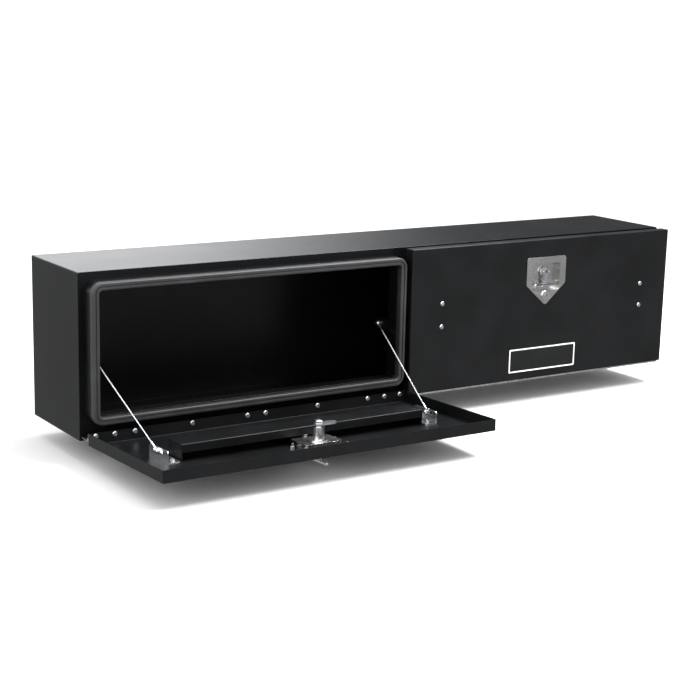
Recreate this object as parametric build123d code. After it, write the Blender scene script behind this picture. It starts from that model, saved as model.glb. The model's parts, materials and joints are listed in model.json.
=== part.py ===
from build123d import *
import math
import os

os.makedirs("parts", exist_ok=True)

# Truck tool box with two drop-down doors. Millimetres, +Z up, +X along the length, +Y to the back.
# The pieces are drawn from the front lower left corner of the body shell, with the doors in front
# of y = 0. Each is then moved so that the origin is the middle of the base.
# The left door is drawn open with its handle out and turned, and the right door closed and stowed.

# Driving dimensions of the body
length = 1828.8
height = 406.4
body_depth = 280.0
sheet = 2.0
wrap_bend = 3.0

# Driving dimensions of the doors
door_sheet = 1.5
pan_depth = 30.0
door_standoff = 22.0
door_end_inset = 4.0
door_middle_gap = 4.0
door_bottom_gap = 17.0
door_top_gap = 0.4
open_angle = 88.0

# Raised collars round the two openings, and the bulb seals on them
collar_sheet = 1.5
collar_reach = 34.0
collar_side_gap = 9.0
collar_bottom_gap = 27.0
collar_top_gap = 18.0
collar_width = 23.0
collar_corner = 28.0
seal_width = 19.0
seal_gap = 0.3
seal_groove = 3.0

# Hinge
axis_forward = 37.0
knuckle_radius = 4.0
leaf_sheet = 1.5
pin_radius = 2.0
pin_clearance = 0.06
knuckle_count = 17
knuckle_gap = 0.5
rail_sheet = 2.0
rail_reach = 31.0
rail_height = 24.0
hinge_rivet_offsets = (26.0, 180.0, 334.0, 387.0, 436.0)
rivet_radius = 2.4
rivet_head_radius = 6.5
rivet_head_height = 3.0
rail_rivet_shift = 12.0
rail_rivet_head_radius = 5.0
rail_rivet_head_height = 2.2
door_rivet_set_back = 7.0

# Door stiffener
stiffener_inset = 120.0
stiffener_low = 179.0
stiffener_width = 68.0
stiffener_rise = 40.0
stiffener_lip = 20.0
stiffener_sheet = 2.0
stiffener_foot = 16.0

# Stay brackets, stay ropes and their anchors
bracket_inset = 80.0
bracket_sheet = 2.5
bracket_length = 94.0
bracket_low = 160.0
bracket_rise = 30.5
bracket_foot = 34.0
bracket_bolt_in = 20.0
bracket_bolt_pitch = 63.0
bracket_slot = 46.0
bolt_radius = 3.0
bolt_clearance = 0.3
bolt_head_radius = 6.5
bolt_head_height = 3.4
stay_head_radius = 5.5
nut_radius = 5.5
nut_height = 5.0
stay_eye_radius = 7.0
stay_eye_width = 5.0
stay_eye_height = 22.5
stay_sleeve_radius = 2.4
stay_sleeve_length = 24.0
rope_radius = 1.6
anchor_in = 10.0
anchor_back = 33.0
anchor_height = 201.0
anchor_sheet = 2.5
anchor_width = 30.0
anchor_length = 46.0

# Latch
hub_height = 313.0
dish_half_width = 69.0
dish_top = 45.0
dish_side_low = -32.0
dish_point_low = -91.0
dish_sheet = 1.5
dish_corner = 8.0
recess_half_width = 48.5
recess_top = 26.0
recess_bottom = -50.0
recess_depth = 17.0
recess_corner = 9.0
spindle_radius = 8.0
spindle_clearance = 0.05
spindle_head_radius = 13.0
housing_radius = 13.0
housing_flange_radius = 21.0
housing_back = -2.0
cam_front = 3.0
cam_sheet = 4.0
cam_width = 24.0
cam_tip_clearance = 2.5
cam_square = 10.0
cam_thread_radius = 5.0
cam_thread_length = 9.0
cam_nut_radius = 9.5
cam_nut_height = 7.0
spindle_head_height = 4.5
handle_pin_set_back = 3.0
handle_reach = 35.0
handle_bar_radius = 4.5
handle_bar_half = 38.0
handle_leg_width = 12.0
handle_leg_depth = 7.0
handle_eye_radius = 5.5
handle_pin_radius = 2.5
cheek_sheet = 4.0
cheek_clearance = 0.4
lock_drop = 64.0
lock_bezel_radius = 15.0
lock_bezel_height = 3.5
lock_barrel_radius = 9.5
lock_barrel_reach = 24.0
lock_nut_radius = 12.0
lock_plug_radius = 6.5
lock_plug_clearance = 0.05
lock_tongue = 12.0
stud_half_spread = 59.0
stud_top = 33.0
stud_low = -22.0
stud_length = 14.0

# Blank name plate
plate_width = 236.0
plate_height = 66.0
plate_sheet = 1.0
plate_middle_height = 72.0
plate_border = 4.0
plate_border_depth = 0.4

# Places that follow from the driving dimensions
rim_y = -door_standoff
face_y = rim_y - pan_depth
skin_y = face_y + door_sheet
handle_pin_y = face_y + handle_pin_set_back
door_z0 = door_bottom_gap
door_z1 = height - door_top_gap
door_width = (length - door_middle_gap) / 2 - door_end_inset
left_x0 = door_end_inset
right_x0 = length / 2 + door_middle_gap / 2
axis_y = -axis_forward
axis_z = door_z0 - knuckle_radius
collar_y = -collar_reach
collar_z0 = door_z0 + collar_bottom_gap
collar_z1 = door_z1 - collar_top_gap
opening_z0 = collar_z0 + collar_width
corner_inside = collar_corner - collar_width + 4.0
opening_z1 = collar_z1 - collar_width
door_middle = door_width / 2
stay_eye_y = skin_y + stay_eye_height
stay_eye_z = bracket_low + door_z0 + bracket_length / 2 + 2.0
stay_eye_x = bracket_inset - stay_eye_width / 2 - 0.5
to_base_middle = Pos(-length / 2, -body_depth / 2, 0)


def slab(x0, x1, y0, y1, z0, z1):
    """A box between two corners."""
    middle = Pos((x0 + x1) / 2, (y0 + y1) / 2, (z0 + z1) / 2)
    return middle * Box(x1 - x0, y1 - y0, z1 - z0)


def round_slab(x0, x1, y0, y1, z0, z1, radius):
    """A box whose four edges along Y are rounded."""
    plane = Plane(((x0 + x1) / 2, y0, (z0 + z1) / 2), x_dir=(1, 0, 0), z_dir=(0, 1, 0))
    return extrude(plane * RectangleRounded(x1 - x0, z1 - z0, radius), y1 - y0)


def rod_x(x0, x1, y, z, radius):
    """A round bar along X."""
    return Pos((x0 + x1) / 2, y, z) * Rot(0, 90, 0) * Cylinder(radius, x1 - x0)


def rod_y(x, y0, y1, z, radius):
    """A round bar along Y."""
    return Pos(x, (y0 + y1) / 2, z) * Rot(90, 0, 0) * Cylinder(radius, y1 - y0)


def rod_z(x, y, z0, z1, radius):
    """A round bar along Z."""
    return Pos(x, y, (z0 + z1) / 2) * Cylinder(radius, z1 - z0)


def domed_fastener(head_radius, head_height, shank_radius, shank_length):
    """A domed head above z = 0 with its shank below."""
    head = Pos(0, 0, head_height / 2) * Cylinder(head_radius, head_height)
    head = fillet(head.edges().group_by(Axis.Z)[-1], head_height * 0.8)
    shank = Pos(0, 0, -shank_length / 2) * Cylinder(shank_radius, shank_length)
    return head + shank


def hex_nut(bore_radius):
    """A hexagon nut on z = 0 with its hole along Z."""
    body = extrude(RegularPolygon(nut_radius, 6), nut_height)
    return body - Pos(0, 0, nut_height / 2) * Cylinder(bore_radius, nut_height + 1)


def rotate_about(shape, point, axis, degrees):
    """The shape turned about an axis through a point."""
    return shape.rotate(Axis(point, axis), degrees)


def swing_open(shape):
    """The shape carried by a door from closed to fully open."""
    return rotate_about(shape, (0, axis_y, axis_z), (1, 0, 0), open_angle)


def opened_point(x, y, z):
    """A point of a closed door, carried to the open door."""
    turn = math.radians(open_angle)
    dy = y - axis_y
    dz = z - axis_z
    new_y = axis_y + dy * math.cos(turn) - dz * math.sin(turn)
    new_z = axis_z + dy * math.sin(turn) + dz * math.cos(turn)
    return (x, new_y, new_z)


def save(name, shapes):
    """Write one node, which may be a group of separate solids, in the frame of the finished part."""
    pieces = shapes if isinstance(shapes, list) else [shapes]
    solids = []
    for piece in pieces:
        solids.extend((to_base_middle * piece).solids())
    if len(solids) == 1:
        export_step(solids[0], "parts/" + name + ".step")
    else:
        export_step(Compound(children=solids), "parts/" + name + ".step")


# ---------------------------------------------------------------- body shell
def body_wrap():
    """Top, back and bottom, bent from one sheet."""
    outer = slab(0, length, 0, body_depth, 0, height)
    back_edges = outer.edges().filter_by(Axis.X).group_by(Axis.Y)[-1]
    outer = fillet(back_edges, wrap_bend)
    inner = slab(-1, length + 1, -1, body_depth - sheet, sheet, height - sheet)
    inner_edges = inner.edges().filter_by(Axis.X).group_by(Axis.Y)[-1]
    return outer - fillet(inner_edges, wrap_bend - sheet)


def end_panel(x0):
    """One flat end, set between the top, the back and the bottom."""
    panel = slab(x0, x0 + sheet, 0, body_depth - sheet, sheet, height - sheet)
    back_edges = panel.edges().filter_by(Axis.X).group_by(Axis.Y)[-1]
    return fillet(back_edges, wrap_bend - sheet)


def opening_edges(x0):
    """Left and right edge of a door opening."""
    left = x0 + collar_side_gap + collar_width
    right = x0 + door_width - collar_side_gap - collar_width
    return left, right


def front_frame():
    """The flat front between the ends, with the two openings."""
    frame = slab(sheet, length - sheet, 0, sheet, sheet, height - sheet)
    margin = collar_sheet + 0.1
    for x0 in (left_x0, right_x0):
        left, right = opening_edges(x0)
        hole = round_slab(left - margin, right + margin, -1, sheet + 1,
                          opening_z0 - margin, opening_z1 + margin, corner_inside + margin)
        frame = frame - hole
    return frame


def collar(x0):
    """A formed channel that stands out round one opening and carries its seal."""
    left = x0 + collar_side_gap
    right = x0 + door_width - collar_side_gap
    open_left, open_right = opening_edges(x0)
    wall = collar_sheet
    body = round_slab(left, right, collar_y, 0, collar_z0, collar_z1, collar_corner)
    channel = round_slab(left + wall, right - wall, collar_y + wall, 1,
                         collar_z0 + wall, collar_z1 - wall, collar_corner - wall)
    body = body - channel
    lip = round_slab(open_left - wall, open_right + wall, collar_y + wall / 2, sheet,
                     opening_z0 - wall, opening_z1 + wall, corner_inside + wall)
    hole = round_slab(open_left, open_right, collar_y - 1, sheet + 1,
                      opening_z0, opening_z1, corner_inside)
    return body + lip - hole


def door_seal(x0):
    """A two-ridged rubber bulb seal on the face of a collar."""
    left = x0 + collar_side_gap + 1.0
    right = x0 + door_width - collar_side_gap - 1.0
    front = skin_y + seal_gap
    back = collar_y
    outer = round_slab(left, right, front, back, collar_z0 + 1, collar_z1 - 1, collar_corner - 1)
    inner = round_slab(left + seal_width, right - seal_width, front - 1, back + 1,
                       collar_z0 + 1 + seal_width, collar_z1 - 1 - seal_width, corner_inside)
    ring = outer - inner
    front_edges = ring.edges().group_by(Axis.Y)[0]
    ring = fillet(front_edges, 4.0)
    middle = seal_width / 2
    groove_out = round_slab(left + middle - seal_groove / 2, right - middle + seal_groove / 2,
                            front - 1, front + seal_groove,
                            collar_z0 + 1 + middle - seal_groove / 2,
                            collar_z1 - 1 - middle + seal_groove / 2,
                            collar_corner - 1 - middle + seal_groove / 2)
    groove_in = round_slab(left + middle + seal_groove / 2, right - middle - seal_groove / 2,
                           front - 2, front + seal_groove + 1,
                           collar_z0 + 1 + middle + seal_groove / 2,
                           collar_z1 - 1 - middle - seal_groove / 2,
                           collar_corner - 1 - middle - seal_groove / 2)
    return ring - (groove_out - groove_in)


# ---------------------------------------------------------------- hinges
rail_z = axis_z - knuckle_radius + leaf_sheet
body_rivet_y = -rail_reach / 2
door_rivet_y = axis_y + door_rivet_set_back


def hinge_rail():
    """The angle under the collars that the hinges are riveted to."""
    x0 = left_x0
    x1 = right_x0 + door_width
    shelf = slab(x0, x1, -rail_reach, 0, rail_z, rail_z + rail_sheet)
    upright = slab(x0, x1, -rail_sheet, 0, rail_z, rail_z + rail_height)
    rail = shelf + upright
    for x in rivet_places(left_x0, -rail_rivet_shift) + rivet_places(right_x0, -rail_rivet_shift):
        rail = rail - rod_z(x, body_rivet_y, rail_z - 1, rail_z + rail_sheet + 1, rivet_radius)
    return rail


def rivet_places(x0, shift):
    """Places of the ten rivets along one hinge."""
    middle = x0 + door_middle
    places = []
    for offset in hinge_rivet_offsets:
        places.append(middle - offset + shift)
        places.append(middle + offset - shift)
    return sorted(places)


def knuckles(x0, first):
    """Every second knuckle of one hinge, with the hole for the pin."""
    pitch = door_width / knuckle_count
    tubes = []
    for index in range(first, knuckle_count, 2):
        start = x0 + index * pitch + knuckle_gap / 2
        stop = x0 + (index + 1) * pitch - knuckle_gap / 2
        tubes.append(rod_x(start, stop, axis_y, axis_z, knuckle_radius))
    return tubes


def pin_hole(x0):
    """The hole for one hinge pin."""
    return rod_x(x0 - 1, x0 + door_width + 1, axis_y, axis_z, pin_radius + pin_clearance)


def other_knuckle_space(x0, first):
    """Room round the knuckles of the other leaf."""
    pitch = door_width / knuckle_count
    rooms = []
    for index in range(first, knuckle_count, 2):
        start = x0 + index * pitch - knuckle_gap / 2
        stop = x0 + (index + 1) * pitch + knuckle_gap / 2
        rooms.append(rod_x(start, stop, axis_y, axis_z, knuckle_radius + knuckle_gap))
    return rooms


def hinge_body_leaf(x0):
    """The fixed leaf, under the rail."""
    low = axis_z - knuckle_radius
    leaf = slab(x0, x0 + door_width, axis_y, -2.0, low, low + leaf_sheet)
    leaf = leaf - other_knuckle_space(x0, 1)
    leaf = leaf + knuckles(x0, 0)
    leaf = leaf - pin_hole(x0)
    for x in rivet_places(x0, -rail_rivet_shift):
        leaf = leaf - rod_z(x, body_rivet_y, low - 1, low + leaf_sheet + 1, rivet_radius)
    return leaf


def hinge_door_leaf(x0):
    """The moving leaf, under the lower wall of the closed door."""
    high = axis_z + knuckle_radius
    leaf = slab(x0, x0 + door_width, axis_y, rim_y - 0.5, high - leaf_sheet, high)
    leaf = leaf - other_knuckle_space(x0, 0)
    leaf = leaf + knuckles(x0, 1)
    leaf = leaf - pin_hole(x0)
    for x in rivet_places(x0, 0.0):
        leaf = leaf - rod_z(x, door_rivet_y, high - leaf_sheet - 1, high + 1, rivet_radius)
    return leaf


def hinge_pin(x0):
    """The plain pin of one hinge."""
    return rod_x(x0, x0 + door_width, axis_y, axis_z, pin_radius)


def body_rivets():
    """Rivets that hold the fixed leaves under the rail, heads down."""
    shank = leaf_sheet + rail_sheet
    rivet = domed_fastener(rail_rivet_head_radius, rail_rivet_head_height, rivet_radius, shank)
    rivet = Rot(180, 0, 0) * rivet
    low = axis_z - knuckle_radius
    places = rivet_places(left_x0, -rail_rivet_shift) + rivet_places(right_x0, -rail_rivet_shift)
    return [Pos(x, body_rivet_y, low) * rivet for x in places]


def door_rivets(x0):
    """Rivets that hold the moving leaf to the door, heads inside the door."""
    rivet = domed_fastener(rivet_head_radius, rivet_head_height, rivet_radius, door_sheet + leaf_sheet)
    high = door_z0 + door_sheet
    return [Pos(x, door_rivet_y, high) * rivet for x in rivet_places(x0, 0.0)]


# ---------------------------------------------------------------- doors, drawn closed
def latch_cutout(x0):
    """The hole in the skin behind the latch recess, and the lock hole below it."""
    x = x0 + door_middle
    wide = recess_half_width + dish_sheet + 0.5
    low = hub_height + recess_bottom - dish_sheet - 0.5
    high = hub_height + recess_top + dish_sheet + 0.5
    recess = round_slab(x - wide, x + wide, face_y - 1, skin_y + 1, low, high, recess_corner)
    return [recess, rod_y(x, face_y - 1, skin_y + 1, hub_height - lock_drop, lock_barrel_radius + 0.1)]


def stud_places(x0):
    """Places of the four studs of one latch."""
    x = x0 + door_middle
    places = []
    for side in (-stud_half_spread, stud_half_spread):
        places.append((x + side, hub_height + stud_top))
        places.append((x + side, hub_height + stud_low))
    return places


def bracket_bolt_places(x0):
    """Places of the four bolts that hold the two stay brackets of one door."""
    low = door_z0 + bracket_low + (bracket_length - bracket_bolt_pitch) / 2
    near = bracket_inset + bracket_bolt_in
    places = []
    for x in (x0 + near, x0 + door_width - near):
        places.append((x, low))
        places.append((x, low + bracket_bolt_pitch))
    return places


def door_pan(x0):
    """The door skin with its four folded walls."""
    x1 = x0 + door_width
    pan = slab(x0, x1, face_y, rim_y, door_z0, door_z1)
    front_edges = pan.edges().group_by(Axis.Y)[0]
    pan = fillet(front_edges, door_sheet + 0.8)
    inner = slab(x0 + door_sheet, x1 - door_sheet, skin_y, rim_y + 1,
                 door_z0 + door_sheet, door_z1 - door_sheet)
    inner = fillet(inner.edges().group_by(Axis.Y)[0], 0.8)
    pan = pan - inner
    pan = pan - latch_cutout(x0)
    for x, z in bracket_bolt_places(x0):
        pan = pan - rod_y(x, face_y - 1, skin_y + 1, z, bolt_radius + bolt_clearance)
    for x, z in stud_places(x0):
        pan = pan - rod_y(x, face_y - 1, skin_y + 1, z, bolt_radius + bolt_clearance)
    for x in rivet_places(x0, 0.0):
        pan = pan - rod_z(x, door_rivet_y, door_z0 - 1, door_z0 + door_sheet + 1, rivet_radius)
    return pan


def stiffener(x0):
    """A lipped channel across the inside of the door, closed at its ends."""
    x1 = x0 + door_width - stiffener_inset
    x0 = x0 + stiffener_inset
    t = stiffener_sheet
    low = door_z0 + stiffener_low
    high = low + stiffener_width
    top = skin_y + stiffener_rise
    web = slab(x0, x1, skin_y, top, low, low + t)
    foot = slab(x0, x1, skin_y, skin_y + t, low - stiffener_foot, low + t)
    shelf = slab(x0, x1, top - t, top, low, high)
    lip = slab(x0, x1, top - stiffener_lip, top, high - t, high)
    rail = web + foot + shelf + lip
    outer_edges = rail.edges().filter_by(Axis.X).group_by(Axis.Y)[-1]
    rail = fillet(outer_edges, t * 0.9)
    for x in (x0, x1 - t):
        rail = rail + slab(x, x + t, skin_y, top - t * 0.9, low, high - t * 0.9)
    return rail


def slot_along_z(x0, x1, y, z0, z1, radius):
    """A slot through a plate across X, with round ends."""
    middle = slab(x0, x1, y - radius, y + radius, z0, z1)
    return middle + rod_x(x0, x1, y, z0, radius) + rod_x(x0, x1, y, z1, radius)


def stay_bracket(x0, side):
    """An angle bolted through the skin, with a slotted leg for the stay eye."""
    t = bracket_sheet
    low = door_z0 + bracket_low
    high = low + bracket_length
    leg = slab(bracket_inset, bracket_inset + t, skin_y, skin_y + bracket_rise, low, high)
    leg = fillet(leg.edges().filter_by(Axis.X).group_by(Axis.Y)[-1], 6.0)
    foot = slab(bracket_inset, bracket_inset + bracket_foot, skin_y, skin_y + t, low, high)
    foot = fillet(foot.edges().filter_by(Axis.Y).group_by(Axis.X)[-1], 6.0)
    angle = leg + foot
    slot_low = stay_eye_z - bracket_slot / 2
    slot_high = stay_eye_z + bracket_slot / 2
    angle = angle - slot_along_z(bracket_inset - 1, bracket_inset + t + 1, stay_eye_y,
                                 slot_low, slot_high, bolt_radius + bolt_clearance)
    bolt_low = low + (bracket_length - bracket_bolt_pitch) / 2
    bolt_x = bracket_inset + bracket_bolt_in
    for z in (bolt_low, bolt_low + bracket_bolt_pitch):
        angle = angle - rod_y(bolt_x, skin_y - 1, skin_y + t + 1, z, bolt_radius + bolt_clearance)
    return to_side(angle, x0, side)


def to_side(shape, x0, side):
    """Place a piece drawn for the left end of a door at either end of it."""
    if side == "left":
        return Pos(x0, 0, 0) * shape
    return Pos(x0 + door_width, 0, 0) * mirror(shape, about=Plane.YZ)


def bracket_bolts(x0):
    """Button-head bolts through the skin and the bracket feet, and through the stay eyes."""
    through = door_sheet + bracket_sheet + nut_height + 2.5
    bolt = domed_fastener(bolt_head_radius, bolt_head_height, bolt_radius, through)
    forward = Rot(90, 0, 0) * bolt
    bolts = [Pos(x, face_y, z) * forward for x, z in bracket_bolt_places(x0)]
    reach = stay_eye_width + 0.5 + bracket_sheet + nut_height + 1.5
    eye_bolt = domed_fastener(stay_head_radius, bolt_head_height, bolt_radius, reach)
    outward = Pos(stay_eye_x - stay_eye_width / 2, stay_eye_y, stay_eye_z) * Rot(0, -90, 0) * eye_bolt
    for side in ("left", "right"):
        bolts.append(to_side(outward, x0, side))
    return bolts


def bracket_nuts(x0):
    """Nuts of the bracket bolts and of the stay eyes."""
    nut = hex_nut(bolt_radius)
    backward = Rot(-90, 0, 0) * nut
    nuts = [Pos(x, skin_y + bracket_sheet, z) * backward for x, z in bracket_bolt_places(x0)]
    inward = Pos(bracket_inset + bracket_sheet, stay_eye_y, stay_eye_z) * Rot(0, 90, 0) * nut
    for side in ("left", "right"):
        nuts.append(to_side(inward, x0, side))
    return nuts


# ---------------------------------------------------------------- stays
def unit(vector):
    """The vector at length one."""
    size = math.sqrt(sum(value * value for value in vector))
    return tuple(value / size for value in vector)


def stay_points():
    """Door eye and body anchor of a left stay, for a door that starts at x = 0, with the door open."""
    eye = opened_point(stay_eye_x, stay_eye_y, stay_eye_z)
    edge = collar_side_gap + collar_width
    anchor = (edge + anchor_in, anchor_back, anchor_height)
    return eye, anchor


def stay_span():
    """Distance between the two eyes of one stay, and the direction from the door to the body."""
    eye, anchor = stay_points()
    across = tuple(b - a for a, b in zip(eye, anchor))
    return math.sqrt(sum(value * value for value in across)), unit(across)


def closed_direction():
    """Direction of the door-side sleeve when the door is closed."""
    direction = stay_span()[1]
    turn = math.radians(-open_angle)
    dy = direction[1] * math.cos(turn) - direction[2] * math.sin(turn)
    dz = direction[1] * math.sin(turn) + direction[2] * math.cos(turn)
    return (direction[0], dy, dz)


def eye_and_sleeve(point, direction):
    """A ring round a bolt along X, with the crimped sleeve of the rope."""
    ring = rod_x(point[0] - stay_eye_width / 2, point[0] + stay_eye_width / 2,
                 point[1], point[2], stay_eye_radius)
    start = Vector(*point) + Vector(*direction) * (stay_eye_radius - 1.0)
    plane = Plane(start, z_dir=Vector(*direction))
    sleeve = extrude(plane * Circle(stay_sleeve_radius), stay_sleeve_length)
    hole = rod_x(point[0] - stay_eye_width, point[0] + stay_eye_width, point[1], point[2], bolt_radius + 0.05)
    return ring + sleeve - hole


def door_stay_eyes(x0):
    """The door-side ends of the two stays of one door."""
    piece = eye_and_sleeve((stay_eye_x, stay_eye_y, stay_eye_z), closed_direction())
    return [to_side(piece, x0, "left"), to_side(piece, x0, "right")]


def anchor_direction(opened):
    """Direction of the body-side sleeve: along the taut rope, or hanging down."""
    if opened:
        return tuple(-value for value in stay_span()[1])
    return (0.0, 0.0, -1.0)


def anchor_eyes():
    """The body-side ends of the four stays."""
    anchor = stay_points()[1]
    pieces = []
    for x0, opened in ((left_x0, True), (right_x0, False)):
        piece = eye_and_sleeve(anchor, anchor_direction(opened))
        pieces.append(to_side(piece, x0, "left"))
        pieces.append(to_side(piece, x0, "right"))
    return pieces


def anchor_tab():
    """An angle behind the front frame that carries one anchor bolt."""
    edge = collar_side_gap + collar_width
    outer = edge + anchor_in - stay_eye_width / 2 - 0.5
    low = anchor_height - anchor_width / 2
    high = anchor_height + anchor_width / 2
    leg = slab(outer - anchor_sheet, outer, sheet, sheet + anchor_length, low, high)
    leg = fillet(leg.edges().filter_by(Axis.X).group_by(Axis.Y)[-1], 6.0)
    foot = slab(outer - 30.0, outer, sheet, sheet + anchor_sheet, low, high)
    tab = leg + foot
    return tab - rod_x(outer - 9, outer + 1, anchor_back, anchor_height, bolt_radius + bolt_clearance)


def anchor_bolts():
    """Bolts of the four anchors, heads inside the opening."""
    reach = stay_eye_width + 0.5 + anchor_sheet + nut_height + 1.5
    bolt = domed_fastener(stay_head_radius, bolt_head_height, bolt_radius, reach)
    anchor = stay_points()[1]
    placed = Pos(anchor[0] + stay_eye_width / 2, anchor[1], anchor[2]) * Rot(0, 90, 0) * bolt
    return at_all_anchors(placed)


def anchor_nuts():
    """Nuts of the four anchors."""
    edge = collar_side_gap + collar_width
    outer = edge + anchor_in - stay_eye_width / 2 - 0.5
    placed = Pos(outer - anchor_sheet, anchor_back, anchor_height) * Rot(0, -90, 0) * hex_nut(bolt_radius)
    return at_all_anchors(placed)


def at_all_anchors(shape):
    """The same piece at both ends of both openings."""
    pieces = []
    for x0 in (left_x0, right_x0):
        pieces.append(to_side(shape, x0, "left"))
        pieces.append(to_side(shape, x0, "right"))
    return pieces


def taut_rope(side):
    """A rope of the open door, straight between its two sleeves."""
    eye, anchor = stay_points()
    span, direction = stay_span()
    end = stay_eye_radius - 1.0 + stay_sleeve_length
    start = Vector(*eye) + Vector(*direction) * end
    plane = Plane(start, z_dir=Vector(*direction))
    rope = extrude(plane * Circle(rope_radius), span - 2 * end)
    return to_side(rope, left_x0, side)


def slack_route():
    """Points of a slack rope behind the closed door, from the body sleeve to the door sleeve."""
    anchor = stay_points()[1]
    end = stay_eye_radius - 1.0 + stay_sleeve_length
    direction = closed_direction()
    eye = (stay_eye_x, stay_eye_y, stay_eye_z)
    last = tuple(value + part * end for value, part in zip(eye, direction))
    before_last = tuple(value + part * 44.0 for value, part in zip(last, direction))
    hang = ((0.0, 0.0, -end), (0.0, 0.0, -74.0), (0.4, 1.0, -103.0), (0.9, 1.5, -131.6),
            (8.3, -1.4, -139.5), (18.7, -5.6, -139.5), (26.1, -8.5, -131.6), (26.9, -12.5, -84.0))
    points = [tuple(value + step for value, step in zip(anchor, offset)) for offset in hang]
    return points + [before_last, last]


def slack_rope(side):
    """A rope of the closed door, hanging in a loop."""
    points = [Vector(*point) for point in slack_route()]
    radii = []
    for before, here, after in zip(points, points[1:], points[2:]):
        turn = math.radians((here - before).get_angle(after - here))
        run = min((here - before).length, (after - here).length)
        radii.append(0.45 * run / math.tan(turn / 2))
    path = FilletPolyline(*points, radius=radii)
    plane = Plane(points[0], z_dir=points[1] - points[0])
    rope = sweep(plane * Circle(rope_radius), path)
    print("slack rope length", round(path.length, 1), "radii", [round(value, 1) for value in radii])
    return to_side(rope, right_x0, side)


# ---------------------------------------------------------------- latches, drawn closed and stowed
def dish_outline(x, grow):
    """The five-sided outline of the latch dish."""
    half = dish_half_width + grow
    top = hub_height + dish_top + grow
    side = hub_height + dish_side_low
    point = hub_height + dish_point_low
    corners = [(x - half, 0, top), (x + half, 0, top), (x + half, 0, side), (x, 0, point), (x - half, 0, side)]
    return make_face(Polyline(*corners, close=True))


def latch_dish(x0):
    """The pressed steel dish with its recess, and four studs behind it."""
    x = x0 + door_middle
    front = face_y - dish_sheet
    plate = extrude(Pos(0, face_y, 0) * dish_outline(x, 0.0), dish_sheet, dir=(0, -1, 0))
    plate = fillet(plate.edges().filter_by(Axis.Y), dish_corner)
    low = hub_height + recess_bottom
    high = hub_height + recess_top
    floor = front + recess_depth
    t = dish_sheet
    pocket = round_slab(x - recess_half_width - t, x + recess_half_width + t, face_y - t / 2, floor + t,
                        low - t, high + t, recess_corner + t)
    room = round_slab(x - recess_half_width, x + recess_half_width, front - 1, floor,
                      low, high, recess_corner)
    dish = plate + pocket - room
    dish = dish - rod_y(x, floor - 1, floor + t + 1, hub_height, spindle_radius + 0.6)
    dish = dish - rod_y(x, front - 1, face_y + 1, hub_height - lock_drop, lock_barrel_radius + 0.02)
    for stud_x, stud_z in stud_places(x0):
        dish = dish + rod_y(stud_x, face_y - t / 2, face_y + stud_length, stud_z, bolt_radius)
    return dish


def latch_nuts(x0):
    """Nuts on the four studs, inside the door."""
    nut = Rot(-90, 0, 0) * hex_nut(bolt_radius)
    return [Pos(x, skin_y, z) * nut for x, z in stud_places(x0)]


def latch_floor():
    """The back face of the recess."""
    return face_y - dish_sheet + recess_depth + dish_sheet


def latch_housing(x0):
    """The bearing tube behind the recess."""
    x = x0 + door_middle
    floor = latch_floor()
    tube = rod_y(x, floor, housing_back, hub_height, housing_radius)
    flange = rod_y(x, floor, floor + 3.0, hub_height, housing_flange_radius)
    return tube + flange - rod_y(x, floor - 1, housing_back + 1, hub_height, spindle_radius + spindle_clearance)


def spindle(x0):
    """The turning shaft, with the fork for the handle at its front."""
    x = x0 + door_middle
    pin_y = handle_pin_y
    head_front = pin_y + handle_eye_radius + 0.4
    head_back = head_front + spindle_head_height
    shaft = rod_y(x, head_back - 1, cam_front, hub_height, spindle_radius)
    head = rod_y(x, head_front, head_back, hub_height, spindle_head_radius)
    body = shaft + head
    half = handle_leg_width / 2 + cheek_clearance
    for side in (-1, 1):
        inner = x + side * half
        outer = x + side * (half + cheek_sheet)
        cheek = slab(min(inner, outer), max(inner, outer), pin_y, head_front + 1,
                     hub_height - 5.5, hub_height + 5.5)
        cheek = cheek + rod_x(min(inner, outer), max(inner, outer), pin_y, hub_height, 5.5)
        body = body + cheek
    body = body - rod_x(x - 20, x + 20, pin_y, hub_height, handle_pin_radius)
    square = slab(x - cam_square / 2, x + cam_square / 2, cam_front - 1, cam_front + cam_sheet,
                  hub_height - cam_square / 2, hub_height + cam_square / 2)
    thread = rod_y(x, cam_front + cam_sheet - 1, cam_front + cam_sheet + cam_thread_length,
                   hub_height, cam_thread_radius)
    return body + square + thread


def cam_arm(x0):
    """The flat arm behind the opening, short enough to swing out under its upper edge."""
    x = x0 + door_middle
    swing_radius = opening_z1 - cam_tip_clearance - axis_z
    back_from_axis = cam_front + cam_sheet - axis_y
    tip = axis_z + math.sqrt(swing_radius ** 2 - back_from_axis ** 2)
    arm = round_slab(x - cam_width / 2, x + cam_width / 2, cam_front, cam_front + cam_sheet,
                     hub_height - cam_width / 2, tip, cam_width / 2 - 1.0)
    hole = slab(x - cam_square / 2, x + cam_square / 2, cam_front - 1, cam_front + cam_sheet + 1,
                hub_height - cam_square / 2, hub_height + cam_square / 2)
    return arm - hole


def cam_nut(x0):
    """The nut that holds the cam arm on the spindle."""
    x = x0 + door_middle
    body = rod_y(x, cam_front + cam_sheet, cam_front + cam_sheet + cam_nut_height, hub_height, cam_nut_radius)
    body = fillet(body.edges().group_by(Axis.Y)[-1], 1.5)
    return body - rod_y(x, cam_front, cam_front + cam_sheet + cam_nut_height + 1, hub_height, cam_thread_radius)


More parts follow.
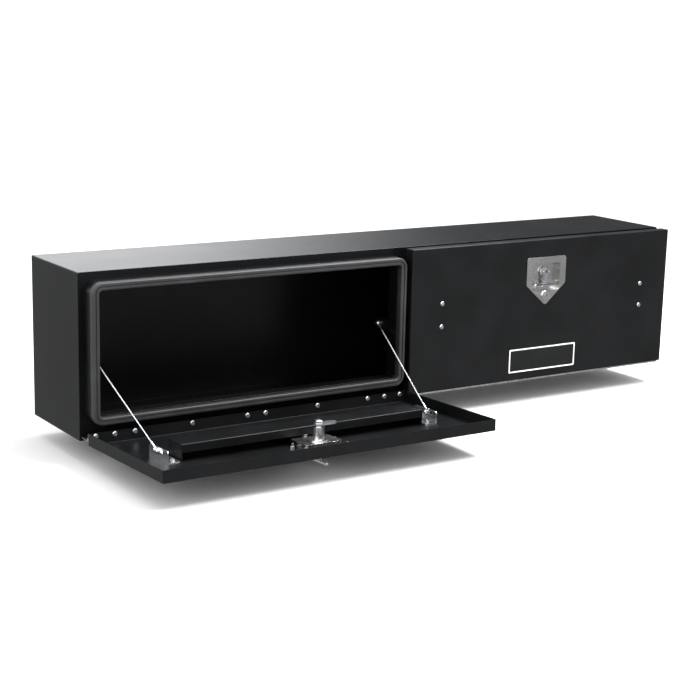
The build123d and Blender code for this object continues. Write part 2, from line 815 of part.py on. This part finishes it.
def handle(x0):
    """The T-handle: an eye, a leg and a cross bar."""
    x = x0 + door_middle
    pin_y = handle_pin_y
    bar_z = hub_height - handle_reach
    half = handle_leg_width / 2
    eye = rod_x(x - half, x + half, pin_y, hub_height, handle_eye_radius)
    leg = slab(x - half, x + half, pin_y - handle_leg_depth / 2, pin_y + handle_leg_depth / 2, bar_z, hub_height)
    bar = rod_x(x - handle_bar_half, x + handle_bar_half, pin_y, bar_z, handle_bar_radius)
    bar = fillet(bar.edges(), handle_bar_radius * 0.8)
    piece = eye + leg + bar
    return piece - rod_x(x - 20, x + 20, pin_y, hub_height, handle_pin_radius + 0.06)


def handle_pin(x0):
    """The cross pin that the handle folds on, pressed into the fork."""
    x = x0 + door_middle
    reach = handle_leg_width / 2 + cheek_clearance + cheek_sheet
    return rod_x(x - reach, x + reach, handle_pin_y, hub_height, handle_pin_radius)


def lock_barrel(x0):
    """The lock body with its bezel."""
    x = x0 + door_middle
    z = hub_height - lock_drop
    front = face_y - dish_sheet
    bezel = rod_y(x, front - lock_bezel_height, front, z, lock_bezel_radius)
    bezel = fillet(bezel.edges().group_by(Axis.Y)[0], 1.2)
    barrel = rod_y(x, front - 1, face_y + lock_barrel_reach, z, lock_barrel_radius)
    nut = rod_y(x, skin_y, skin_y + 4.0, z, lock_nut_radius)
    bore = rod_y(x, front - lock_bezel_height - 1, face_y + lock_barrel_reach + 1, z,
                 lock_plug_radius + lock_plug_clearance)
    return bezel + barrel + nut - bore


def lock_plug(x0):
    """The turning plug with its key slot and its tongue."""
    x = x0 + door_middle
    z = hub_height - lock_drop
    front = face_y - dish_sheet - lock_bezel_height
    back = face_y + lock_barrel_reach + 0.2
    plug = rod_y(x, front - 0.6, back + 2.5, z, lock_plug_radius)
    slot = slab(x - 0.8, x + 0.8, front - 2, front + 5, z - 4.2, z + 4.2)
    tongue = round_slab(x - lock_tongue, x + lock_plug_radius, back, back + 2.5, z - 5, z + 5, 4.0)
    return plug - slot + tongue


# ---------------------------------------------------------------- name plate
def name_plate(x0):
    """A blank plate with a raised border."""
    x = x0 + door_middle
    half = plate_width / 2
    low = plate_middle_height - plate_height / 2
    high = plate_middle_height + plate_height / 2
    plate = round_slab(x - half, x + half, face_y - plate_sheet, face_y, low, high, 3.0)
    room = round_slab(x - half + plate_border, x + half - plate_border, face_y - plate_sheet - 1,
                      face_y - plate_sheet + plate_border_depth, low + plate_border, high - plate_border, 2.0)
    return plate - room


# ---------------------------------------------------------------- write every node
def identity(shape):
    """The piece of the closed door as drawn."""
    return shape


def turned_latch(x0, shape):
    """A latch piece turned a quarter about its spindle."""
    return rotate_about(shape, (x0 + door_middle, 0, hub_height), (0, 1, 0), 90)


def folded_out(x0, shape):
    """A handle piece folded out of its dish."""
    return rotate_about(shape, (x0 + door_middle, handle_pin_y, hub_height), (1, 0, 0), -90)


def place(shapes, move):
    """Apply one move to a piece or to a group of pieces."""
    if isinstance(shapes, list):
        return [move(shape) for shape in shapes]
    return move(shapes)


def save_door(side, x0, move):
    """Write the pieces that ride on one door."""
    save(side + "_door_pan", place(door_pan(x0), move))
    save(side + "_door_stiffener", place(stiffener(x0), move))
    save(side + "_hinge_door_leaf", place(hinge_door_leaf(x0), move))
    save(side + "_hinge_rivets", place(door_rivets(x0), move))
    save(side + "_bracket_bolts", place(bracket_bolts(x0), move))
    save(side + "_bracket_nuts", place(bracket_nuts(x0), move))
    save(side + "_stay_eyes", place(door_stay_eyes(x0), move))
    brackets = [stay_bracket(x0, "left"), stay_bracket(x0, "right")]
    save(side + "_stay_brackets", place(brackets, move))
    save(side + "_latch_dish", place(latch_dish(x0), move))
    save(side + "_latch_nuts", place(latch_nuts(x0), move))
    save(side + "_latch_housing", place(latch_housing(x0), move))
    save(side + "_lock_barrel", place(lock_barrel(x0), move))
    save(side + "_lock_plug", place(lock_plug(x0), move))


def save_spindle(side, x0, move):
    """Write the pieces that turn in one latch."""
    save(side + "_spindle", place(spindle(x0), move))
    save(side + "_cam_arm", place(cam_arm(x0), move))
    save(side + "_cam_nut", place(cam_nut(x0), move))
    save(side + "_handle_pin", place(handle_pin(x0), move))


def left_latch_move(shape):
    """The open door's spindle: turned, then carried by the door."""
    return swing_open(turned_latch(left_x0, shape))


def left_handle_move(shape):
    """The open door's handle: folded out, turned, then carried by the door."""
    return left_latch_move(folded_out(left_x0, shape))


save("body_wrap", body_wrap())
save("left_end_panel", end_panel(0))
save("right_end_panel", end_panel(length - sheet))
save("front_frame", front_frame())
save("left_collar", collar(left_x0))
save("right_collar", collar(right_x0))
save("left_door_seal", door_seal(left_x0))
save("right_door_seal", door_seal(right_x0))
save("hinge_rail", hinge_rail())
save("left_hinge_body_leaf", hinge_body_leaf(left_x0))
save("right_hinge_body_leaf", hinge_body_leaf(right_x0))
save("hinge_pins", [hinge_pin(left_x0), hinge_pin(right_x0)])
save("hinge_rail_rivets", body_rivets())
save("stay_anchor_tabs", at_all_anchors(anchor_tab()))
save("stay_anchor_bolts", anchor_bolts())
save("stay_anchor_nuts", anchor_nuts())
save("stay_anchor_eyes", anchor_eyes())
for end in ("left", "right"):
    save("left_door_" + end + "_rope", taut_rope(end))
    save("right_door_" + end + "_rope", slack_rope(end))

save_door("left", left_x0, swing_open)
save_spindle("left", left_x0, left_latch_move)
save("left_handle", left_handle_move(handle(left_x0)))

save_door("right", right_x0, identity)
save_spindle("right", right_x0, identity)
save("right_handle", handle(right_x0))
save("right_name_plate", name_plate(right_x0))
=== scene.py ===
import json
import math

import bmesh
import bpy
from mathutils import Matrix, Vector

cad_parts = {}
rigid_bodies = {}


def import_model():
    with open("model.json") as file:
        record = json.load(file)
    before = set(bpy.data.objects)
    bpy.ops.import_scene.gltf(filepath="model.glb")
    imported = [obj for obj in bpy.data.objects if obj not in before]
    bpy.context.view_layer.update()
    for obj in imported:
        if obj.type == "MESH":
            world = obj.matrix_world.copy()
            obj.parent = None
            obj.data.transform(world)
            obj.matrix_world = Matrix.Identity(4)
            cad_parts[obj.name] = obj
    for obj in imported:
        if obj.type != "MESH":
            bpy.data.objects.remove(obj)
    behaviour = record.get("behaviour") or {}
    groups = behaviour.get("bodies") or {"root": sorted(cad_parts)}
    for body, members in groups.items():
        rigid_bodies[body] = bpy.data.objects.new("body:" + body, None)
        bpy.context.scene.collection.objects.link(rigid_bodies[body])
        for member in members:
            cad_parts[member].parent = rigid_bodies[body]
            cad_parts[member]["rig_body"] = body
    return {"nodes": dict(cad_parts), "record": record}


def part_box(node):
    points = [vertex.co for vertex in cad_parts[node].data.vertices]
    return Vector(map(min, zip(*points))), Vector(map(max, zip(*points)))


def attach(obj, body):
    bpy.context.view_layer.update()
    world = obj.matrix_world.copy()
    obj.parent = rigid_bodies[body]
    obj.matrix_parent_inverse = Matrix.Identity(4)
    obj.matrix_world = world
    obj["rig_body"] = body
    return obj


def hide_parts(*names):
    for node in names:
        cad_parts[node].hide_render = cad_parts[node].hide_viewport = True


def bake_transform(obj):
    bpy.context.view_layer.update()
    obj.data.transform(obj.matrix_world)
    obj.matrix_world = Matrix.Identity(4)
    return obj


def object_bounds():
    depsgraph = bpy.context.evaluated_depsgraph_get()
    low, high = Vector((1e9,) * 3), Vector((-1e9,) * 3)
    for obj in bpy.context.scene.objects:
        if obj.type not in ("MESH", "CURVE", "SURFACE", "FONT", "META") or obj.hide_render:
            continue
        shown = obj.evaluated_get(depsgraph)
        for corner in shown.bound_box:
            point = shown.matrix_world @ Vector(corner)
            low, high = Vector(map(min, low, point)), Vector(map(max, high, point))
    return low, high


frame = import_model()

# A long steel truck tool box with two drop-down doors.
# The left door hangs open with its T-handle out, and the right door is closed and stowed.

nodes = frame["nodes"]
sides = ("left", "right")
cad_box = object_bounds()

# Finishes: base colours and gloss
coat_colour = (0.0026, 0.0028, 0.0031, 1.0)
coat_light = (0.0048, 0.0051, 0.0055, 1.0)
inner_colour = (0.0030, 0.0032, 0.0035, 1.0)
inner_light = (0.0070, 0.0074, 0.0080, 1.0)
steel_colour = (0.50, 0.495, 0.48, 1.0)
steel_light = (0.70, 0.695, 0.68, 1.0)
chrome_colour = (0.62, 0.62, 0.62, 1.0)
chrome_light = (0.80, 0.80, 0.80, 1.0)
zinc_colour = (0.64, 0.65, 0.66, 1.0)
zinc_light = (0.84, 0.85, 0.86, 1.0)
rubber_colour = (0.016, 0.016, 0.017, 1.0)
rubber_light = (0.034, 0.034, 0.036, 1.0)
rope_colour = (0.46, 0.46, 0.47, 1.0)
rope_light = (0.68, 0.68, 0.69, 1.0)
plate_border_colour = (0.72, 0.72, 0.71, 1.0)

# Grain of the finishes: noise detail, the limits it is spread between, and its drawn direction
grain_detail = 3.0
cloud_detail = 4.0
noise_share = 0.5
noise_spread = (0.3, 0.7)
mask_spread = (0.35, 0.65)
drawn_stretch = (0.04, 1.0, 1.0)

# Camera
camera_place = (-2.38205, -3.52301, 1.04919)
camera_turn = math.radians(33.38)
camera_drop = math.radians(12.58)
camera_roll = math.radians(1.415)
camera_lens = 81.78
camera_sensor = 36.0
camera_reach = 60.0

# Floor
floor_gap = 0.025
floor_half = 14.0
floor_colour = (0.93, 0.93, 0.93, 1.0)
floor_mottle = (0.96, 0.96, 0.96, 1.0)
floor_grain = 60.0
floor_cloud = 0.8
floor_gloss = (0.75, 0.9)
floor_bump = (0.02, 0.001)

# Surroundings: what is seen and lights the box, and what its reflections show
world_light = (1.0, 1.0, 1.0, 1.0)
world_strength = 1.06
gloss_light = (2.0, 2.03, 2.08, 1.0)
gloss_shade = (0.07, 0.073, 0.08, 1.0)
gloss_below = (0.36, 0.365, 0.37, 1.0)
gloss_fade = (0.40, 0.60)
gloss_rise = (-0.12, 0.14)

# Area lights: place, aim, width and depth in metres, and power in watts
area_lights = {
    "top_softbox": ((-0.6, -0.4, 3.2), (0, 0, 0.2), (3.2, 1.6), 34.0),
    "edge_strip": ((1.2, -0.7, 2.6), (0, -0.1, 0.4), (2.8, 0.5), 170.0),
    "left_softbox": ((-3.6, -1.6, 1.4), (0, 0, 0.2), (1.8, 1.8), 14.0),
}

# Softened sheet edges, in metres
panel_edge = 0.00095
pan_edge = 0.0007
small_edge = 0.0004
edge_steps = 2
sharp_angle = math.radians(33.0)
flat_angle = math.radians(0.6)
sheet_shade_angle = math.radians(40.0)
same_place = 1e-6

# Name plate: how near to the front a border face lies
border_depth = 0.0001

# Fittings that are coated with the body they are welded to
coated_nodes = {"stay_anchor_tabs": "black_powder_coat"}

# Stay ropes: strands laid round the middle line
strand_count = 6
strand_sides = 6
rope_radius = 0.0016
strand_radius = 0.00058
strand_lay = 0.0125
strand_shade_angle = math.radians(60.0)
rope_step = 0.0016
route_steps = 24
route_order = 3
slack_across = {"left": 0.0440, "right": 0.8684}
slack_inward = {"left": 1, "right": -1}
slack_back = -0.107
slack_height = 0.201
slack_offsets = (
    (0.0, 0.0, -0.030), (0.0, 0.0, -0.074), (0.0004, 0.001, -0.103), (0.0009, 0.0015, -0.1316),
    (0.0083, -0.0014, -0.1395), (0.0187, -0.0056, -0.1395), (0.0261, -0.0085, -0.1316),
    (0.0269, -0.0125, -0.084), (0.02723, -0.0206, -0.0365), (0.03185, -0.04462, 0.00007),
)


# ---------------------------------------------------------------- shader groups
def new_group(name, inputs, outputs):
    """A shader node group with named sockets, and its two end nodes."""
    group = bpy.data.node_groups.new(name, "ShaderNodeTree")
    for label, kind, value in inputs:
        socket = group.interface.new_socket(label, in_out="INPUT", socket_type=kind)
        socket.default_value = value
    for label, kind in outputs:
        group.interface.new_socket(label, in_out="OUTPUT", socket_type=kind)
    start = group.nodes.new("NodeGroupInput")
    end = group.nodes.new("NodeGroupOutput")
    return group, start, end


def add_noise(group, start, scale_socket, detail, stretch=None):
    """Object-space noise, stretched along one axis where it is asked for."""
    place = group.nodes.new("ShaderNodeTexCoord")
    noise = group.nodes.new("ShaderNodeTexNoise")
    noise.inputs["Detail"].default_value = detail
    group.links.new(start.outputs[scale_socket], noise.inputs["Scale"])
    if stretch is None:
        group.links.new(place.outputs["Object"], noise.inputs["Vector"])
        return noise
    mapping = group.nodes.new("ShaderNodeMapping")
    mapping.inputs["Scale"].default_value = stretch
    group.links.new(place.outputs["Object"], mapping.inputs["Vector"])
    group.links.new(mapping.outputs["Vector"], noise.inputs["Vector"])
    return noise


def add_range(group, source, low, high):
    """Spreads a grey value between two limits."""
    spread = group.nodes.new("ShaderNodeMapRange")
    group.links.new(source, spread.inputs["Value"])
    spread.inputs["From Min"].default_value = noise_spread[0]
    spread.inputs["From Max"].default_value = noise_spread[1]
    group.links.new(low, spread.inputs["To Min"])
    group.links.new(high, spread.inputs["To Max"])
    return spread.outputs["Result"]


def add_mix(group, factor, first, second):
    """Blends two colours."""
    mix = group.nodes.new("ShaderNodeMix")
    mix.data_type = "RGBA"
    group.links.new(factor, mix.inputs["Factor"])
    group.links.new(first, mix.inputs["A"])
    group.links.new(second, mix.inputs["B"])
    return mix.outputs["Result"]


def finish_group(name, stretch):
    """Colour, roughness and height of a grained finish; stretch gives it a direction."""
    inputs = (
        ("Colour", "NodeSocketColor", (0.5, 0.5, 0.5, 1.0)),
        ("Light Colour", "NodeSocketColor", (0.6, 0.6, 0.6, 1.0)),
        ("Grain Scale", "NodeSocketFloat", 900.0),
        ("Cloud Scale", "NodeSocketFloat", 6.0),
        ("Smooth", "NodeSocketFloat", 0.3),
        ("Rough", "NodeSocketFloat", 0.45),
    )
    outputs = (
        ("Colour", "NodeSocketColor"),
        ("Roughness", "NodeSocketFloat"),
        ("Height", "NodeSocketFloat"),
    )
    group, start, end = new_group(name, inputs, outputs)
    grain = add_noise(group, start, "Grain Scale", grain_detail, stretch)
    cloud = add_noise(group, start, "Cloud Scale", cloud_detail)
    blend = group.nodes.new("ShaderNodeMath")
    blend.operation = "MULTIPLY_ADD"
    blend.inputs[1].default_value = noise_share
    half = group.nodes.new("ShaderNodeMath")
    half.operation = "MULTIPLY"
    half.inputs[1].default_value = noise_share
    group.links.new(cloud.outputs["Fac"], half.inputs[0])
    group.links.new(grain.outputs["Fac"], blend.inputs[0])
    group.links.new(half.outputs["Value"], blend.inputs[2])
    mask = group.nodes.new("ShaderNodeMapRange")
    mask.inputs["From Min"].default_value = mask_spread[0]
    mask.inputs["From Max"].default_value = mask_spread[1]
    group.links.new(blend.outputs["Value"], mask.inputs["Value"])
    colour = add_mix(group, mask.outputs["Result"], start.outputs["Colour"],
                     start.outputs["Light Colour"])
    rough = add_range(group, blend.outputs["Value"], start.outputs["Smooth"],
                      start.outputs["Rough"])
    group.links.new(colour, end.inputs["Colour"])
    group.links.new(rough, end.inputs["Roughness"])
    group.links.new(grain.outputs["Fac"], end.inputs["Height"])
    return group


even_finish = finish_group("even_finish", None)
drawn_finish = finish_group("drawn_finish", drawn_stretch)


# ---------------------------------------------------------------- materials
def finish_material(name, group, colours, grain, cloud, gloss, bump, metallic=0.0, specular=0.5):
    """A material whose colour, roughness and fine relief come from a finish group."""
    material = bpy.data.materials.new(name)
    material.use_nodes = True
    tree = material.node_tree
    shader = tree.nodes["Principled BSDF"]
    shader.inputs["Metallic"].default_value = metallic
    shader.inputs["Specular IOR Level"].default_value = specular
    finish = tree.nodes.new("ShaderNodeGroup")
    finish.node_tree = group
    finish.inputs["Colour"].default_value = colours[0]
    finish.inputs["Light Colour"].default_value = colours[1]
    finish.inputs["Grain Scale"].default_value = grain
    finish.inputs["Cloud Scale"].default_value = cloud
    finish.inputs["Smooth"].default_value = gloss[0]
    finish.inputs["Rough"].default_value = gloss[1]
    relief = tree.nodes.new("ShaderNodeBump")
    relief.inputs["Strength"].default_value = bump[0]
    relief.inputs["Distance"].default_value = bump[1]
    tree.links.new(finish.outputs["Colour"], shader.inputs["Base Color"])
    tree.links.new(finish.outputs["Roughness"], shader.inputs["Roughness"])
    tree.links.new(finish.outputs["Height"], relief.inputs["Height"])
    tree.links.new(relief.outputs["Normal"], shader.inputs["Normal"])
    return material


def build_materials():
    """Every finish of the box, by the record's slot name."""
    made = {}
    made["black_powder_coat"] = finish_material(
        "satin_black_coat", even_finish, (coat_colour, coat_light), grain=1100.0, cloud=5.0,
        gloss=(0.22, 0.29), bump=(0.24, 0.0004), specular=0.22)
    made["black_inner_coat"] = finish_material(
        "satin_black_inner_coat", even_finish, (inner_colour, inner_light), grain=1100.0,
        cloud=7.0, gloss=(0.28, 0.42), bump=(0.28, 0.0004), specular=0.24)
    made["stainless"] = finish_material(
        "brushed_stainless", drawn_finish, (steel_colour, steel_light), grain=1400.0, cloud=9.0,
        gloss=(0.20, 0.34), bump=(0.08, 0.0002), metallic=1.0)
    made["zinc"] = finish_material(
        "bright_zinc", even_finish, (zinc_colour, zinc_light), grain=500.0, cloud=30.0,
        gloss=(0.22, 0.38), bump=(0.06, 0.0002), metallic=1.0)
    made["bright_steel"] = finish_material(
        "plated_steel", even_finish, (chrome_colour, chrome_light), grain=700.0, cloud=25.0,
        gloss=(0.10, 0.20), bump=(0.03, 0.0001), metallic=1.0)
    made["rubber"] = finish_material(
        "seal_rubber", even_finish, (rubber_colour, rubber_light), grain=800.0, cloud=14.0,
        gloss=(0.42, 0.60), bump=(0.30, 0.0004))
    made["rope_steel"] = finish_material(
        "wire_rope", even_finish, (rope_colour, rope_light), grain=900.0, cloud=60.0,
        gloss=(0.26, 0.42), bump=(0.10, 0.0002), metallic=1.0)
    made["plate_metal"] = finish_material(
        "plate_face", even_finish, (coat_colour, coat_light), grain=1500.0, cloud=20.0,
        gloss=(0.30, 0.42), bump=(0.05, 0.0002))
    made["plate_border"] = finish_material(
        "plate_border", even_finish, (plate_border_colour, steel_light), grain=900.0, cloud=20.0,
        gloss=(0.35, 0.5), bump=(0.05, 0.0002))
    return made


materials = build_materials()


def node_slots():
    """The slot of each node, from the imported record."""
    slots = {}
    for part in frame["record"]["subparts"]:
        slots[part["node"]] = part["material_slot"]
    return slots


# ---------------------------------------------------------------- stage
def make_floor():
    """A wide, flat, pale floor a little below the lowest piece."""
    low = cad_box[0].z - floor_gap
    mesh = bpy.data.meshes.new("studio_floor")
    corners = [(-floor_half, -floor_half, low), (floor_half, -floor_half, low),
               (floor_half, floor_half, low), (-floor_half, floor_half, low)]
    mesh.from_pydata(corners, [], [(0, 1, 2, 3)])
    floor = bpy.data.objects.new("studio_floor", mesh)
    bpy.context.scene.collection.objects.link(floor)
    mesh.materials.append(finish_material(
        "studio_floor", even_finish, (floor_colour, floor_mottle), grain=floor_grain,
        cloud=floor_cloud, gloss=floor_gloss, bump=floor_bump))
    floor.visible_glossy = False
    return floor


def add_area_light(name, place, target, size, power):
    """A soft rectangular light aimed at a point."""
    data = bpy.data.lights.new(name, "AREA")
    data.shape = "RECTANGLE"
    data.size = size[0]
    data.size_y = size[1]
    data.energy = power
    light = bpy.data.objects.new(name, data)
    light.location = place
    aim = Vector(target) - Vector(place)
    light.rotation_euler = aim.to_track_quat("-Z", "Y").to_euler()
    bpy.context.scene.collection.objects.link(light)
    return light


def add_grade(tree, source, limits):
    """A smooth rise from 0 to 1 between two limits."""
    grade = tree.nodes.new("ShaderNodeMapRange")
    grade.interpolation_type = "SMOOTHSTEP"
    grade.inputs["From Min"].default_value = limits[0]
    grade.inputs["From Max"].default_value = limits[1]
    tree.links.new(source, grade.inputs["Value"])
    return grade.outputs["Result"]


def add_colour_mix(tree, factor):
    """A mix of two colours, driven by a factor."""
    mix = tree.nodes.new("ShaderNodeMix")
    mix.data_type = "RGBA"
    tree.links.new(factor, mix.inputs["Factor"])
    return mix


def make_surroundings():
    """Pale surroundings; reflections see them bright, dark far to the right and dim below."""
    world = bpy.data.worlds.new("studio")
    bpy.context.scene.world = world
    world.use_nodes = True
    tree = world.node_tree
    background = tree.nodes["Background"]
    background.inputs["Strength"].default_value = world_strength
    place = tree.nodes.new("ShaderNodeTexCoord")
    parts = tree.nodes.new("ShaderNodeSeparateXYZ")
    ray = tree.nodes.new("ShaderNodeLightPath")
    tree.links.new(place.outputs["Generated"], parts.inputs["Vector"])
    colour = add_colour_mix(tree, add_grade(tree, parts.outputs["X"], gloss_fade))
    colour.inputs["A"].default_value = gloss_light
    colour.inputs["B"].default_value = gloss_shade
    gloss = add_colour_mix(tree, add_grade(tree, parts.outputs["Z"], gloss_rise))
    gloss.inputs["A"].default_value = gloss_below
    tree.links.new(colour.outputs["Result"], gloss.inputs["B"])
    seen = add_colour_mix(tree, ray.outputs["Is Glossy Ray"])
    seen.inputs["A"].default_value = world_light
    tree.links.new(gloss.outputs["Result"], seen.inputs["B"])
    tree.links.new(seen.outputs["Result"], background.inputs["Color"])


def make_lights():
    """The surroundings, and soft lights above, on the left and along the front edge."""
    make_surroundings()
    for name, (place, target, size, power) in area_lights.items():
        add_area_light(name, place, target, size, power)


def make_camera():
    """The camera, turned and tipped down from the front, with a small roll."""
    forward = Vector((math.sin(camera_turn) * math.cos(camera_drop),
                      math.cos(camera_turn) * math.cos(camera_drop), -math.sin(camera_drop)))
    right = Vector((math.cos(camera_turn), -math.sin(camera_turn), 0.0))
    up = right.cross(forward)
    across = right * math.cos(camera_roll) + up * math.sin(camera_roll)
    upward = up * math.cos(camera_roll) - right * math.sin(camera_roll)
    turn = Matrix((across, upward, -forward)).transposed()
    data = bpy.data.cameras.new("view")
    data.lens = camera_lens
    data.sensor_width = camera_sensor
    data.clip_end = camera_reach
    camera = bpy.data.objects.new("view", data)
    camera.matrix_world = Matrix.Translation(camera_place) @ turn.to_4x4()
    bpy.context.scene.collection.objects.link(camera)
    bpy.context.scene.camera = camera
    bpy.context.scene.view_settings.view_transform = "Standard"
    return camera


# ---------------------------------------------------------------- softened sheet metal
def add_piece(name, mesh, body, slot, replaced):
    """Shows a mesh in place of a CAD node, riding on its body."""
    piece = bpy.data.objects.new(name, mesh)
    bpy.context.scene.collection.objects.link(piece)
    mesh.materials.clear()
    mesh.materials.append(materials[slot])
    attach(piece, body)
    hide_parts(replaced)
    return piece


def welded_copy(node):
    """The node's shape with its corners joined and its flat faces made whole."""
    work = bmesh.new()
    work.from_mesh(nodes[node].data)
    bmesh.ops.remove_doubles(work, verts=work.verts, dist=same_place)
    bmesh.ops.dissolve_limit(work, angle_limit=flat_angle, verts=work.verts, edges=work.edges)
    return work


def soften_edges(work, width):
    """Rounds every sharp edge a little."""
    sharp = [edge for edge in work.edges
             if len(edge.link_faces) == 2 and edge.calc_face_angle(0.0) > sharp_angle]
    bmesh.ops.bevel(work, geom=sharp, offset=width, offset_type="OFFSET", segments=edge_steps,
                    profile=0.5, affect="EDGES", clamp_overlap=True)


def shade_smooth(mesh, angle):
    """Smooth shading that keeps the remaining sharp edges."""
    mesh.polygons.foreach_set("use_smooth", [True] * len(mesh.polygons))
    mesh.set_sharp_from_angle(angle=angle)
    mesh.update()


def soft_piece(node, width, slot):
    """A CAD node shown with softened edges."""
    work = welded_copy(node)
    soften_edges(work, width)
    mesh = bpy.data.meshes.new(node + "_soft")
    work.to_mesh(mesh)
    work.free()
    shade_smooth(mesh, sheet_shade_angle)
    piece = add_piece(node + "_soft", mesh, nodes[node]["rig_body"], slot, node)
    even = piece.modifiers.new("even_faces", "WEIGHTED_NORMAL")
    even.mode = "FACE_AREA"
    even.weight = 100
    even.keep_sharp = True
    return piece


def make_soft_pieces():
    """Rounded edges on the sheet metal and the latch."""
    slots = node_slots()
    widths = {"body_wrap": panel_edge, "left_end_panel": panel_edge, "right_end_panel": panel_edge,
              "hinge_rail": pan_edge}
    for side in sides:
        widths[side + "_door_pan"] = pan_edge
        widths[side + "_door_stiffener"] = pan_edge
        widths[side + "_handle"] = small_edge
        widths[side + "_stay_brackets"] = small_edge
        widths[side + "_latch_dish"] = small_edge
        widths[side + "_collar"] = pan_edge
        widths[side + "_door_seal"] = small_edge
    for node, width in widths.items():
        soft_piece(node, width, slots[node])


# ---------------------------------------------------------------- name plate
def make_name_plate():
    """The blank plate: a black face inside a pale raised border."""
    node = "right_name_plate"
    work = welded_copy(node)
    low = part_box(node)[0]
    mesh = bpy.data.meshes.new("name_plate")
    work.to_mesh(mesh)
    work.free()
    plate = add_piece("name_plate", mesh, nodes[node]["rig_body"], "plate_metal", node)
    mesh.materials.append(materials["plate_border"])
    for face in mesh.polygons:
        if face.normal.y < -0.9 and face.center.y < low.y + border_depth:
            face.material_index = 1
    return plate


# ---------------------------------------------------------------- stay ropes
def tube_ends(node):
    """Middle of each end of a straight rope."""
    points = [vertex.co.copy() for vertex in nodes[node].data.vertices]
    middle = sum(points, Vector()) / len(points)
    far = max(points, key=lambda point: (point - middle).length)
    axis = (far - middle).normalized()
    reaches = [(point - middle).dot(axis) for point in points]
    ends = []
    for limit in (max(reaches), min(reaches)):
        group = [point for point, reach in zip(points, reaches) if abs(reach - limit) < rope_radius]
        ends.append(sum(group, Vector()) / len(group))
    return ends


def even_line(start, end):
    """Points along a straight line."""
    count = int((end - start).length / rope_step)
    return [start.lerp(end, index / count) for index in range(count + 1)]


def frames_along(points):
    """An across pair for each point, carried along without twisting."""
    frames = []
    across = None
    for index, point in enumerate(points):
        before = points[max(index - 1, 0)]
        after = points[min(index + 1, len(points) - 1)]
        along = (after - before).normalized()
        if across is None:
            across = along.orthogonal().normalized()
        across = (across - along * across.dot(along)).normalized()
        frames.append((across, along.cross(across)))
    return frames


def lay_strands(name, points):
    """Strands wound round the middle line."""
    frames = frames_along(points)
    travelled = [0.0]
    for before, here in zip(points, points[1:]):
        travelled.append(travelled[-1] + (here - before).length)
    work = bmesh.new()
    for strand in range(strand_count):
        rings = []
        for point, frame_pair, distance in zip(points, frames, travelled):
            turn = 2 * math.pi * (strand / strand_count + distance / strand_lay)
            out = frame_pair[0] * math.cos(turn) + frame_pair[1] * math.sin(turn)
            middle = point + out * (rope_radius - strand_radius)
            ring = []
            for side in range(strand_sides):
                angle = 2 * math.pi * side / strand_sides
                offset = frame_pair[0] * math.cos(angle) + frame_pair[1] * math.sin(angle)
                ring.append(work.verts.new(middle + offset * strand_radius))
            rings.append(ring)
        for first, second in zip(rings, rings[1:]):
            for side in range(strand_sides):
                following = (side + 1) % strand_sides
                work.faces.new((first[side], first[following], second[following], second[side]))
        work.faces.new(list(reversed(rings[0])))
        work.faces.new(rings[-1])
    mesh = bpy.data.meshes.new(name)
    work.to_mesh(mesh)
    work.free()
    shade_smooth(mesh, strand_shade_angle)
    return mesh


def rope_piece(node, points):
    """One stay rope, held by the box at one end and by the door at the other."""
    mesh = lay_strands(node + "_strands", points)
    rope = bpy.data.objects.new(node + "_strands", mesh)
    bpy.context.scene.collection.objects.link(rope)
    mesh.materials.append(materials["rope_steel"])
    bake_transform(rope)
    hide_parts(node)
    return rope


def make_taut_ropes():
    """The two straight ropes that hold the open door."""
    for side in sides:
        node = "left_door_" + side + "_rope"
        ends = sorted(tube_ends(node), key=lambda point: -point.y)
        rope_piece(node, even_line(ends[0], ends[1]))


def smooth_line(points):
    """A smooth line led by the route's points, read back as close points."""
    data = bpy.data.curves.new("rope_route", "CURVE")
    data.dimensions = "3D"
    data.resolution_u = route_steps
    spline = data.splines.new("NURBS")
    spline.points.add(len(points) - 1)
    for point, place in zip(spline.points, points):
        point.co = (place.x, place.y, place.z, 1.0)
    spline.order_u = route_order
    spline.use_endpoint_u = True
    route = bpy.data.objects.new("rope_route", data)
    mesh = bpy.data.meshes.new_from_object(route)
    line = [vertex.co.copy() for vertex in mesh.vertices]
    bpy.data.objects.remove(route)
    bpy.data.curves.remove(data)
    bpy.data.meshes.remove(mesh)
    return line


def slack_places(side):
    """A slack rope's route: down from the body sleeve, round its loop and up to the door."""
    anchor = Vector((slack_across[side], slack_back, slack_height))
    inward = slack_inward[side]
    return [anchor + Vector((across * inward, back, up)) for across, back, up in slack_offsets]


def make_slack_ropes():
    """The two ropes that hang in a loop behind the closed door."""
    for side in sides:
        node = "right_door_" + side + "_rope"
        line = smooth_line(slack_places(side))
        rope_piece(node, line)


# ---------------------------------------------------------------- put together
def dress_nodes():
    """Gives each CAD node its finish."""
    for name, slot in node_slots().items():
        mesh = nodes[name].data
        mesh.materials.clear()
        mesh.materials.append(materials[coated_nodes.get(name, slot)])


make_camera()
dress_nodes()
make_soft_pieces()
make_name_plate()
make_taut_ropes()
make_slack_ropes()
make_floor()
make_lights()
